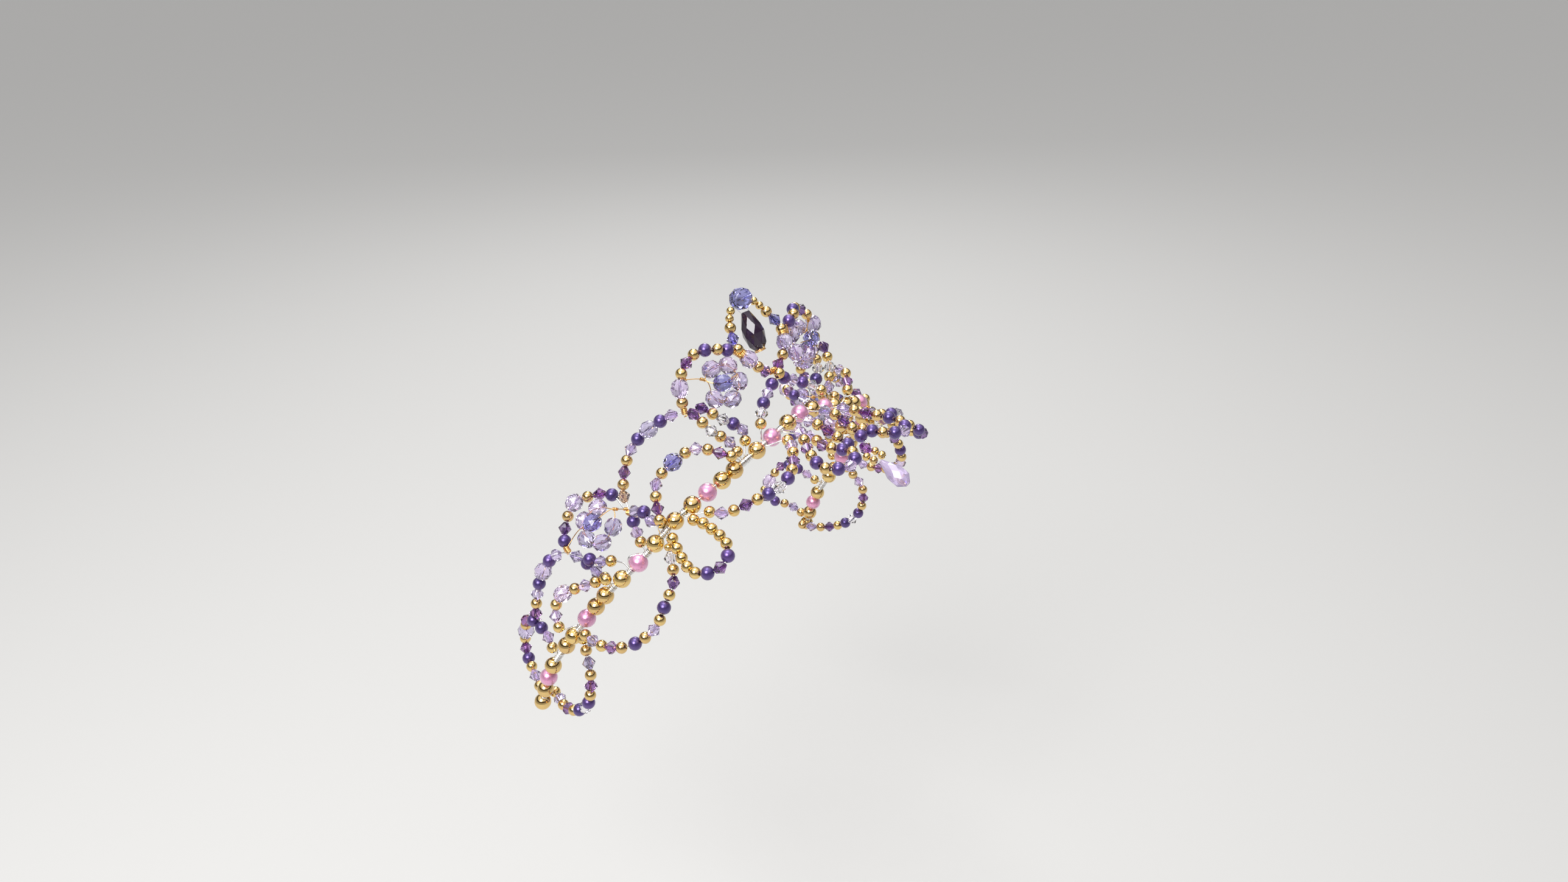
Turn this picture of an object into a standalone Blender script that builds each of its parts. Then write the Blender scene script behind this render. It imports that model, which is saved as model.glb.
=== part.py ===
"""A ballet tiara of glass beads and pearls threaded on fine wire.

A band of large gold beads and pink pearls goes over the head from side to side. A crest of bead
strings stands behind it, with a peak, a flower in each of four loops and a dark briolette, and
arches and loops of beads lie in front of it, with a pale drop over the forehead.

The wearer faces -Y, +X is the wearer's left and +Z is up. The origin is the point where the
middle of the band rests on the top of the head. Sizes below are in millimetres.
"""
import math

import bpy
import bmesh
from mathutils import Vector

MM = 0.001

# Driving dimensions
SIDES = 10
AIR = 0.3
BAND_BEAD = 6.0
PINK_PEARL = 6.3
BAND_WIRE = 1.5
STRING_WIRE = 0.8
NECK = 1.8
PEARL_BORE = NECK + 3 * AIR
GOLD_BEAD = 4.0
PEARL = 4.6
BICONE = 4.6
FACETED_ROUND = 6.2
SEED = 3.0
TUBE = 4.0
TOP_CRYSTAL = 8.0
BRIOLETTE = (8.0, 14.0)
DROP = (6.5, 21.0)
PETALS = 5
PETAL_RING = 6.2
PETAL_TURN = math.radians(64)
HEART_RISE = 3.7
FOOT_CLEAR = BAND_WIRE / 2 + AIR + 0.4
KNOT_CLEAR = 2.1
STALK = 10.0
HEART_LEAD = 5.0
CURVE_STEPS = 16
TOUCH = 1.0
SHARP = math.radians(40)
WIRE_STEP = 6.0
TUBE_STEP = 2.2 * TUBE

# The outline of what is threaded: shares of its length, with the share of its width there
BALL = ((0.22, 0.9), (0.78, 0.9))
CONES = ((0.5, 1.0),)
BARREL = ((0.1, 1.0), (0.9, 1.0))
PEARL_PROFILE = ((-0.92, 0.45), (-0.45, 0.95), (0.45, 0.95), (0.92, 0.45))
CUT_BALL = ((0.04, 0.42), (0.22, 0.86), (0.5, 1.0), (0.78, 0.86), (0.96, 0.42))
CUT_BRIOLETTE = ((0, 0.36), (0.12, 0.57), (0.33, 0.83), (0.55, 1.0), (0.75, 0.9), (0.9, 0.67), (1, 0.4))
CUT_DROP = (
    (0, 0.25), (0.1, 0.68), (0.2, 0.25), (0.26, 0.12), (0.42, 0.12), (0.6, 0.62), (0.78, 1.0),
    (0.92, 0.7), (1, 0.3),
)
BEADS = {
    "big": (BAND_BEAD, 5.9, BALL),
    "pink": (BAND_WIRE, PINK_PEARL + 2 * AIR, CONES),
    "gold": (GOLD_BEAD, 3.9, BALL),
    "seed": (SEED, 2.9, BALL),
    "pearl": (PEARL, 4.5, BALL),
    "cone": (BICONE, 4.2, CONES),
    "round": (FACETED_ROUND, 6.0, BALL),
    "bind": (2.4, 2.4, BARREL),
    "coil": (2.6, 4.0, BARREL),
}

# Colours: base colour, metallic, roughness
MATERIALS = {
    "polished_gold": ((0.83, 0.56, 0.20), 1.0, 0.16),
    "pink_pearl": ((0.88, 0.42, 0.62), 0.0, 0.22),
    "blue_crystal": ((0.22, 0.24, 0.62), 0.0, 0.05),
    "lilac_crystal": ((0.62, 0.52, 0.82), 0.0, 0.05),
    "amethyst": ((0.10, 0.05, 0.14), 0.0, 0.05),
    "milky_lilac": ((0.66, 0.58, 0.78), 0.0, 0.10),
}

# The band's line on one side: out from the middle, back, up
BAND_LINE = (
    (0, 0, 3), (14, 0.5, 0), (31, 3, -6), (43, 5, -10), (53, 10, -17), (64, 18, -31), (71, 28, -44),
    (76, 40, -62), (78, 51, -79), (79, 58, -98),
)
BAND_HALF = (
    "wire:0.6 big wire:2 pink wire:1 big wire:4.8 big big pink big wire:1.7 big wire:4 big wire:2.2"
    " pink wire:2 big wire:3.2 big big pink wire:3.5 big big wire:1.5 coil wire:1.5 big pink big"
    " wire:0.6 big"
)

# Places where strings meet: out, back, up
KNOTS = {
    "crest": (36, 20, 12),
    "flower": (55, 30, -19),
}

# Flowers of one side: the middle of the petals, the way they face, the way the ring is open, and
# how far the heart is moved that way
FLOWERS = (
    ("upper_flower", (21.4, 15.5, 18), (0.27, -0.88, 0.38), (1, 0.2, 0.2), 2.2),
    ("lower_flower", (60.5, 39.5, -26), (0.8, -0.05, 0.59), (-0.55, -0.4, 0.7), 0.4),
)

# Stones in the middle: where each starts and the way it hangs
TOP_CRYSTAL_AT = Vector((0, 24.5, 39.4))
BRIOLETTE_TOP = Vector((0, 22.8, 35.1))
BRIOLETTE_FALL = Vector((0, -0.44, -0.9))
DROP_TOP = Vector((0, -25, -1.6))
DROP_FALL = Vector((0, -0.9, -0.44))

# Strings of one side: name, start, points between, end and what is threaded. An end is a point, a
# knot's name or a distance along the band from its middle, and points are out, back, up. The word
# fit stands for the bare wire that takes up what length is left
STRINGS = (
    ("peak_string", (5, 24.5, 38), ((8, 23, 35), (10, 21, 32), (12, 17, 27), (9, 13, 22), (5, 12, 18)),
     (1.6, 11.6, 16), "seed seed gold cone gold round gold cone"),
    ("upper_flower_loop", (14.8, 17, 27),
     ((20, 17.5, 29), (26, 22, 29), (32.5, 22.5, 25.5), (36.5, 21, 20), (36, 20, 12)),
     (35.5, 20, 10.6), "pearl gold pearl gold cone gold round gold knot:crest"),
    ("centre_leg", (1.6, 10, 14), ((4, 9, 12.5), (11, 7, 9), (17, 3.5, 4.8)), 19.4,
     "pearl cone pearl cone gold fit"),
    ("outer_crest_leg", "crest", ((36, 16, 12), (33, 11, 6), (28, 8, 1)), 28.9,
     "cone gold cone gold cone gold fit"),
    ("inner_crest_leg", "crest", ((31, 17, 12), (27, 12, 8), (20.5, 8.3, 2.2)), 27.2,
     "wire:1.8 cone gold cone pearl cone gold fit"),
    ("upper_back_arch", "crest", ((40, 26, 9), (45, 34, 1), (49, 36, -7), (53, 34, -15)), "flower",
     "cone pearl round pearl cone gold cone gold cone"),
    ("forehead_loop", 11,
     ((12, -9, 3), (18, -17, 0.5), (22, -26, -1), (16, -32, -1), (9, -28, 0), (9, -17, -1.2), (6, -9, -1)),
     11, "fit cone gold cone gold pearl gold pearl cone pearl gold pearl gold cone gold cone fit"),
    ("centre_string", 3.5, ((5, -9, 4), (4.6, -15, 2.4), (3.8, -23, -1), (2.5, -29, -4)),
     (2.4, -33.4, -4.8), "fit cone gold cone gold pearl fit seed seed"),
)

# Strings of one side that are drawn as plain tubes: name and points on their line
TUBES = (
    ("upper_inner_arch",
     ((32.4, 3, -1.2), (36, 5.5, 1), (39.5, 9, 2.8), (41, 14, 1.5), (46, 18.5, -3), (51, 20, -7.5),
      (55, 17, -12), (58.3, 12.8, -15.8), (60.2, 12, -17.2))),
    ("lower_flower_loop",
     ((55.3, 15.5, -18.8), (56.3, 19, -19.3), (55, 24, -17.6), (55.3, 29, -20), (53, 34, -21.3),
      (51.2, 42, -19), (55.5, 48.5, -20), (59.5, 52, -22.2), (64.8, 51.5, -29.6), (68.5, 47, -34.2),
      (67, 41, -36.8), (67.1, 36, -38.8), (67.1, 32.2, -39.8))),
    ("upper_inner_string", ((55.7, 27.3, -23.2), (57.5, 24.5, -25), (60, 20, -26.8))),
    ("lower_inner_string", ((67, 34, -34.8), (66, 30, -33.6), (65, 24.5, -32.8))),
    ("lower_back_arch",
     ((70, 51, -36.8), (70.5, 54, -39.5), (71.5, 56.5, -43.5), (73, 59.3, -52), (73.8, 61.3, -63.3))),
    ("lower_inner_arch",
     ((70.3, 27.8, -37.8), (73.3, 34.5, -41.2), (76.8, 42, -45.3), (78.7, 44.2, -51), (79, 42.7, -58.4))),
    ("end_back_loop",
     ((73.8, 62, -65.5), (73.5, 67, -67.8), (71, 71.3, -75), (70, 74, -82), (72, 71, -85),
      (75, 65.5, -86.5), (77, 61, -88.5))),
    ("end_string", ((74.2, 59.5, -66), (75.4, 54, -68.3), (77.4, 49.2, -71.5))),
    ("end_front_loop",
     ((73.9, 55.3, -93.5), (77.2, 48, -93.6), (79.3, 40, -91), (80.3, 32.5, -85.3), (81, 28.7, -78),
      (80.2, 28.5, -68.5), (76.8, 34.3, -59.6))),
    ("side_front_arch",
     ((78.3, 31.3, -56.6), (79, 22.5, -57), (77, 12.3, -54), (72.6, 4.5, -46.8), (69, 2.7, -39),
      (64, 2.8, -32), (59, 8.8, -26.1))),
    ("gold_loop",
     ((51.2, 5, -16.6), (51.3, -1, -16.7), (53.3, -10.5, -18.7), (57, -13.8, -22), (61, -11.5, -25.2),
      (63.3, -5.5, -26.6), (61.2, 1.2, -25), (57.6, 8.6, -21.4))),
    ("front_arch",
     ((46.9, 2.3, -14.9), (44.5, -4, -14.2), (38.5, -10, -10.8), (35.2, -15.5, -7), (33, -18, -4.6),
      (26, -16.2, -2.8), (19.3, -11.5, -0.6), (14, -5, -0.2))),
)


def place(point, side=1):
    """A point given as out, back, up, on the wearer's left (1) or right (-1)."""
    out, back, up = point
    return Vector((side * out, back, up))


class Route:
    """A smooth curve through points, measured by distance along it."""

    def __init__(self, points):
        ends = [2 * points[0] - points[1], *points, 2 * points[-1] - points[-2]]
        self.points = []
        for before, start, end, after in zip(ends, ends[1:], ends[2:], ends[3:]):
            for step in range(CURVE_STEPS):
                t = step / CURVE_STEPS
                linear = (end - before) * t
                square = (2 * before - 5 * start + 4 * end - after) * t ** 2
                cube = (3 * start - before - 3 * end + after) * t ** 3
                self.points.append((2 * start + linear + square + cube) / 2)
        self.points.append(points[-1])
        self.marks = [0.0]
        for start, end in zip(self.points, self.points[1:]):
            self.marks.append(self.marks[-1] + (end - start).length)
        self.length = self.marks[-1]

    def at(self, distance):
        """The point at a distance along the route, and the direction there."""
        index = 1
        while index < len(self.marks) - 1 and self.marks[index] < distance:
            index += 1
        start, end = self.points[index - 1], self.points[index]
        share = (distance - self.marks[index - 1]) / (self.marks[index] - self.marks[index - 1])
        return start.lerp(end, share), (end - start).normalized()

    def nearest(self, point):
        """The distance along the route to the mark nearest a point."""
        return min(zip(self.points, self.marks), key=lambda pair: (pair[0] - point).length)[1]


def band_route():
    """The band's line from the wearer's right end to the left one."""
    left = [place(point) for point in BAND_LINE]
    right = [place(point, -1) for point in BAND_LINE[:0:-1]]
    return Route(right + left)


BAND = band_route()


def band_point(distance, side=1):
    """A point of the band's line, and its direction, at a distance from its middle."""
    return BAND.at(BAND.length / 2 + side * distance)


def end_point(end, toward, side):
    """Where a string ends: short of a knot, short of the band's wire, or at a plain point."""
    if isinstance(end, tuple):
        return place(end, side)
    if isinstance(end, str):
        centre = place(KNOTS[end], side)
        return centre + KNOT_CLEAR * (toward - centre).normalized()
    centre, along = band_point(end, side)
    away = toward - centre
    return centre + FOOT_CLEAR * (away - along * away.dot(along)).normalized()


def string_route(start, between, end, side):
    points = [place(point, side) for point in between]
    return Route([end_point(start, points[0], side), *points, end_point(end, points[-1], side)])


def length_of(token, fit=0.0):
    """The length along the wire of a bead, of bare wire such as wire:2, or of the fitted wire."""
    if token == "fit":
        return fit
    if token.startswith("wire:"):
        return float(token[5:])
    return BEADS[token][1]


def fill(tokens, start, end):
    """Thread beads between two distances, the slack going to the fitted wires or both ends."""
    slack = end - start - sum(length_of(token) for token in tokens)
    fits = tokens.count("fit")
    edge = start if fits else start + slack / 2
    threaded = []
    for token in tokens:
        length = length_of(token, slack / max(fits, 1))
        if token in BEADS:
            threaded.append((edge + length / 2, token))
        edge += length
    return threaded


def thread(route, words, side=1):
    """Each bead's middle along the route; a word such as knot:side binds the wire at that knot."""
    threaded = []
    waiting = []
    edge = 0.0
    half = BEADS["bind"][1] / 2
    for word in words.split():
        if word.startswith("knot:"):
            middle = route.nearest(place(KNOTS[word[5:]], side))
            threaded += fill(waiting, edge, middle - half)
            threaded.append((middle, "bind"))
            edge = middle + half
            waiting = []
        else:
            waiting.append(word)
    return threaded + fill(waiting, edge, route.length)


def join(edge, start, wire):
    """The rings between one bead and the next: a shared neck, or bare wire."""
    if start - edge < TOUCH:
        return [((start + edge) / 2, NECK / 2)]
    steps = max(1, round((start - edge) / WIRE_STEP))
    return [(edge + (start - edge) * step / steps, wire / 2) for step in range(steps + 1)]


def outline(threaded, length, wire=STRING_WIRE):
    """The distances and radii that describe beads on a wire of a given length."""
    rings = []
    edge = 0.0
    for middle, bead in threaded:
        width, bead_length, stations = BEADS[bead]
        start = middle - bead_length / 2
        rings += join(edge, start, wire)
        rings += [(start + share * bead_length, fullness * width / 2) for share, fullness in stations]
        edge = middle + bead_length / 2
    return rings + join(edge, length, wire)


def add_object(name, mesh, material):
    data = bpy.data.meshes.new(name)
    bmesh.ops.scale(mesh, vec=Vector((MM, MM, MM)), verts=mesh.verts)
    mesh.to_mesh(data)
    mesh.free()
    data.shade_smooth()
    data.set_sharp_from_angle(angle=SHARP)
    data.materials.append(bpy.data.materials[material])
    obj = bpy.data.objects.new(name, data)
    bpy.context.scene.collection.objects.link(obj)
    return obj


def ring_of(mesh, centre, along, across, radius):
    """A circle of vertices round a point of the route."""
    up = along.cross(across)
    circle = []
    for side in range(SIDES):
        turn = 2 * math.pi * side / SIDES
        outward = math.cos(turn) * across + math.sin(turn) * up
        circle.append(mesh.verts.new(centre + radius * outward))
    return circle


def bridge(mesh, first, second):
    for side in range(SIDES):
        after = (side + 1) % SIDES
        mesh.faces.new((first[side], first[after], second[after], second[side]))


def threaded_solid(name, route, rings, material):
    """One closed solid: rings of the given radii along the route, with flat ends."""
    mesh = bmesh.new()
    across = route.at(0)[1].orthogonal().normalized()
    circles = []
    for distance, radius in rings:
        centre, along = route.at(distance)
        across = (across - along * across.dot(along)).normalized()
        circles.append(ring_of(mesh, centre, along, across, radius))
    for first, second in zip(circles, circles[1:]):
        bridge(mesh, first, second)
    mesh.faces.new(reversed(circles[0]))
    mesh.faces.new(circles[-1])
    return add_object(name, mesh, material)


def drilled_pearl(name, centre, along):
    """A round pearl with a bore for the band's wire."""
    half = PINK_PEARL / 2
    bore = PEARL_BORE / 2
    profile = [(share * half, fullness * half) for share, fullness in PEARL_PROFILE]
    profile += [(profile[-1][0], bore), (profile[0][0], bore)]
    mesh = bmesh.new()
    across = along.orthogonal().normalized()
    circles = [ring_of(mesh, centre + along * reach, along, across, size) for reach, size in profile]
    for first, second in zip(circles, circles[1:] + circles[:1]):
        bridge(mesh, first, second)
    return add_object(name, mesh, "pink_pearl")


def turned_stone(name, top, direction, size, profile, material):
    """A faceted stone turned about the line it hangs on; the profile is depth and share of width."""
    width, length = size
    route = Route([top, top + direction.normalized() * length])
    rings = [(depth * length, share * width / 2) for depth, share in profile]
    return threaded_solid(name, route, rings, material)


def build_band():
    half = BAND_HALF.split()
    words = " ".join([*reversed(half), "pink", *half])
    threaded = thread(BAND, words)
    threaded_solid("band", BAND, outline(threaded, BAND.length, BAND_WIRE), "polished_gold")
    pearls = [middle for middle, bead in threaded if bead == "pink"]
    for number, middle in enumerate(pearls, 1):
        centre, along = BAND.at(middle)
        drilled_pearl(f"pink_pearl_{number:02d}", centre, along)


def build_strings(side, suffix):
    for name, start, between, end, words in STRINGS:
        route = string_route(start, between, end, side)
        rings = outline(thread(route, words, side), route.length)
        threaded_solid(f"{name}_{suffix}", route, rings, "polished_gold")


def build_tubes(side, suffix):
    for name, points in TUBES:
        tube(f"{name}_{suffix}", Route([place(point, side) for point in points]))


def tube(name, route):
    """A string drawn as a plain tube on a smooth line."""
    count = max(3, math.ceil(route.length / TUBE_STEP))
    curve = bpy.data.curves.new(name, "CURVE")
    curve.dimensions = "3D"
    curve.bevel_depth = TUBE / 2 * MM
    curve.bevel_resolution = 2
    curve.use_fill_caps = True
    spline = curve.splines.new("POLY")
    spline.points.add(count)
    for index, point in enumerate(spline.points):
        point.co = (*(route.at(route.length * index / count)[0] * MM), 1)
    curve.materials.append(bpy.data.materials["polished_gold"])
    bpy.context.scene.collection.objects.link(bpy.data.objects.new(name, curve))


def build_flower(name, centre, facing, outward, heart_out, side):
    """Five round crystals in an open ring with a sixth in front, threaded on one wire."""
    middle = place(centre, side)
    normal = place(facing, side).normalized()
    open_way = place(outward, side)
    open_way = (open_way - normal * open_way.dot(normal)).normalized()
    beside = normal.cross(open_way)
    petals = []
    for number in range(PETALS):
        turn = math.pi + PETAL_TURN * (number - PETALS // 2)
        petals.append(middle + PETAL_RING * (math.cos(turn) * open_way + math.sin(turn) * beside))
    heart = middle + HEART_RISE * normal + heart_out * open_way
    start = middle + open_way * STALK
    route = Route([start, *petals, heart + open_way * HEART_LEAD, heart - open_way * FACETED_ROUND / 2])
    threaded = [(route.nearest(petal), "round") for petal in petals]
    threaded.append((route.nearest(heart), "round"))
    threaded_solid(name, route, outline(threaded, route.length), "lilac_crystal")


def build_stones():
    crystal_half = Vector((TOP_CRYSTAL / 2, 0, 0))
    turned_stone("top_crystal", TOP_CRYSTAL_AT - crystal_half, Vector((1, 0, 0)),
                 (TOP_CRYSTAL, TOP_CRYSTAL), CUT_BALL, "blue_crystal")
    turned_stone("peak_briolette", BRIOLETTE_TOP, BRIOLETTE_FALL, BRIOLETTE, CUT_BRIOLETTE, "amethyst")
    turned_stone("forehead_drop", DROP_TOP, DROP_FALL, DROP, CUT_DROP, "milky_lilac")


def build():
    for obj in list(bpy.data.objects):
        bpy.data.objects.remove(obj)
    for name, (colour, metallic, roughness) in MATERIALS.items():
        material = bpy.data.materials.new(name)
        material.use_nodes = True
        shader = material.node_tree.nodes["Principled BSDF"]
        shader.inputs["Base Color"].default_value = (*colour, 1)
        shader.inputs["Metallic"].default_value = metallic
        shader.inputs["Roughness"].default_value = roughness
    build_band()
    for side, suffix in ((1, "left"), (-1, "right")):
        build_strings(side, suffix)
        build_tubes(side, suffix)
        for name, *shape in FLOWERS:
            build_flower(f"{name}_{suffix}", *shape, side)
    build_stones()


build()
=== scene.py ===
# %% [markdown]
# # A ballet tiara of beads on wire
#
# The real piece is made by hand. Glass beads, small pearls and gold balls are threaded on thin
# wire, the wire is bent into loops and arches, and every end is wrapped round a stiff band that
# goes over the head. This lesson makes each kind of bead once, threads copies of it along smooth
# lines, winds the wire, and then paints the gold, the pearls and the cut glass.
#
# The frame comes first. It holds the plain solids that the checks use, and every piece below
# takes the place of one of them.

# %% Load the frame
import math
import random

import bmesh
import bpy
from mathutils import Matrix, Vector


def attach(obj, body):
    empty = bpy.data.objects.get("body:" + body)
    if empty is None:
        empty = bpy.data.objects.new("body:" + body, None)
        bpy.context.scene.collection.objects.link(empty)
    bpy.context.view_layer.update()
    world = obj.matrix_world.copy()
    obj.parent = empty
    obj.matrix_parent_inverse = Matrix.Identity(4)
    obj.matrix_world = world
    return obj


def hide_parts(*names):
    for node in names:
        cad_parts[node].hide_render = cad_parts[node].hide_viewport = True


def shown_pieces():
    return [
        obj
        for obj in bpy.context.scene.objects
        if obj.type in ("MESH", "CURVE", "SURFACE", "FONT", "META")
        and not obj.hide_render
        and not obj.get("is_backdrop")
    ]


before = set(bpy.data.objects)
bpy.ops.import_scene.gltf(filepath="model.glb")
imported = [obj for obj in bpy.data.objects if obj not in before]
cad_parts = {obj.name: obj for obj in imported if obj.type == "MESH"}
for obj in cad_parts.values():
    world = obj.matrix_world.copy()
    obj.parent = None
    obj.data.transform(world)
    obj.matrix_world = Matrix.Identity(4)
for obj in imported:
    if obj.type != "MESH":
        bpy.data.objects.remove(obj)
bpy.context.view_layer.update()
print("Nodes in the frame:", len(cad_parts))

# %% [markdown]
# ## Sizes
#
# A bead maker sells beads by their width in millimetres, so the sizes are written that way and
# turned into metres where a mesh is made. Points are given for one side of the head as out, back
# and up from the point where the middle of the band rests.

# %% Sizes in millimetres
MM = 0.001
BAND_BEAD = 6.0
PINK_PEARL = 6.3
GOLD_BEAD = 4.0
SEED_BEAD = 3.0
PEARL = 4.6
BICONE = 4.6
ROUND_CRYSTAL = 6.2
TOP_CRYSTAL = 8.0
BORE = 0.9
STRING_WIRE = 0.5
BAND_CORE = 1.3
WRAP_WIRE = 0.4
FOOT_WIRE = 0.6
SIDES = ((1, "left"), (-1, "right"))

# Length that each threaded word takes up along its wire
LENGTHS = {
    "big": 5.9, "pink": 6.9, "gold": 3.9, "seed": 2.9, "pearl": 4.5, "round": 6.0, "round_blue": 6.0,
    "lilac": 4.2, "violet": 4.2, "clear": 4.2, "champagne": 4.2, "blue": 4.2, "bind": 2.4, "coil": 4.0,
}

# %% [markdown]
# ## Lines for the wires
#
# Bent wire is smooth, so each line is a curve through a few chosen points. A Catmull-Rom curve goes through
# all of its points, which makes it easy to place. Beads are then placed by their distance along it, as they
# would slide on the real wire.

# %% A smooth line measured along its length
CURVE_STEPS = 16


def place(point, side=1):
    """A point given as out, back, up, on the wearer's left (1) or right (-1)."""
    out, back, up = point
    return Vector((side * out, back, up))


def place_all(points, side=1):
    return [place(point, side) for point in points]


class Route:
    """A smooth curve through points, measured by distance along it."""

    def __init__(self, points):
        ends = [2 * points[0] - points[1], *points, 2 * points[-1] - points[-2]]
        self.points = []
        for before, start, end, after in zip(ends, ends[1:], ends[2:], ends[3:]):
            for step in range(CURVE_STEPS):
                t = step / CURVE_STEPS
                linear = (end - before) * t
                square = (2 * before - 5 * start + 4 * end - after) * t ** 2
                cube = (3 * start - before - 3 * end + after) * t ** 3
                self.points.append((2 * start + linear + square + cube) / 2)
        self.points.append(points[-1])
        self.marks = [0.0]
        for start, end in zip(self.points, self.points[1:]):
            self.marks.append(self.marks[-1] + (end - start).length)
        self.length = self.marks[-1]

    def at(self, distance):
        """The point at a distance along the route, and the direction there."""
        index = 1
        while index < len(self.marks) - 1 and self.marks[index] < distance:
            index += 1
        start, end = self.points[index - 1], self.points[index]
        share = (distance - self.marks[index - 1]) / (self.marks[index] - self.marks[index - 1])
        return start.lerp(end, share), (end - start).normalized()

    def nearest(self, point):
        """The distance along the route to the mark nearest a point."""
        return min(zip(self.points, self.marks), key=lambda pair: (pair[0] - point).length)[1]

    def samples(self, start, end, step):
        """Points along the route between two distances, about a step apart."""
        count = max(2, round((end - start) / step))
        return [self.at(start + (end - start) * number / count)[0] for number in range(count + 1)]


# %% The band's line and the beads on one half of it
BAND_LINE = (
    (0, 0, 3), (14, 0.5, 0), (31, 3, -6), (43, 5, -10), (53, 10, -17), (64, 18, -31), (71, 28, -44),
    (76, 40, -62), (78, 51, -79), (79, 58, -98),
)
BAND_HALF = (
    "wire:0.6 big wire:2 pink wire:1 big wire:4.8 big big pink big wire:1.7 big wire:4 big wire:2.2"
    " pink wire:2 big wire:3.2 big big pink wire:3.5 big big wire:1.5 coil wire:1.5 big pink big"
    " wire:0.6 big"
)
BAND = Route(place_all(BAND_LINE[:0:-1], -1) + place_all(BAND_LINE))


def band_point(distance, side=1):
    """A point of the band's line, and its direction, at a distance from its middle."""
    return BAND.at(BAND.length / 2 + side * distance)


print(f"Band: {BAND.length:.1f} mm from end to end")

# %% [markdown]
# ## What is threaded on each string
#
# A string starts and ends at a point, at a knot where strings meet, or at a distance along the
# band. Its beads are written as words in the order in which they are threaded. The word wire is
# a length of bare wire, bind is a few turns of binding wire, and fit is the bare wire that takes
# up what is left. Both sides of the head are alike.

# %% Knots and strings of one side
KNOTS = {
    "crest": (36, 20, 12),
    "flower": (55, 30, -19),
    "side": (69.5, 47.5, -34.8),
}
FOOT_CLEAR = 1.45
KNOT_CLEAR = 2.1
TUBE_AIR = 0.15

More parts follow.
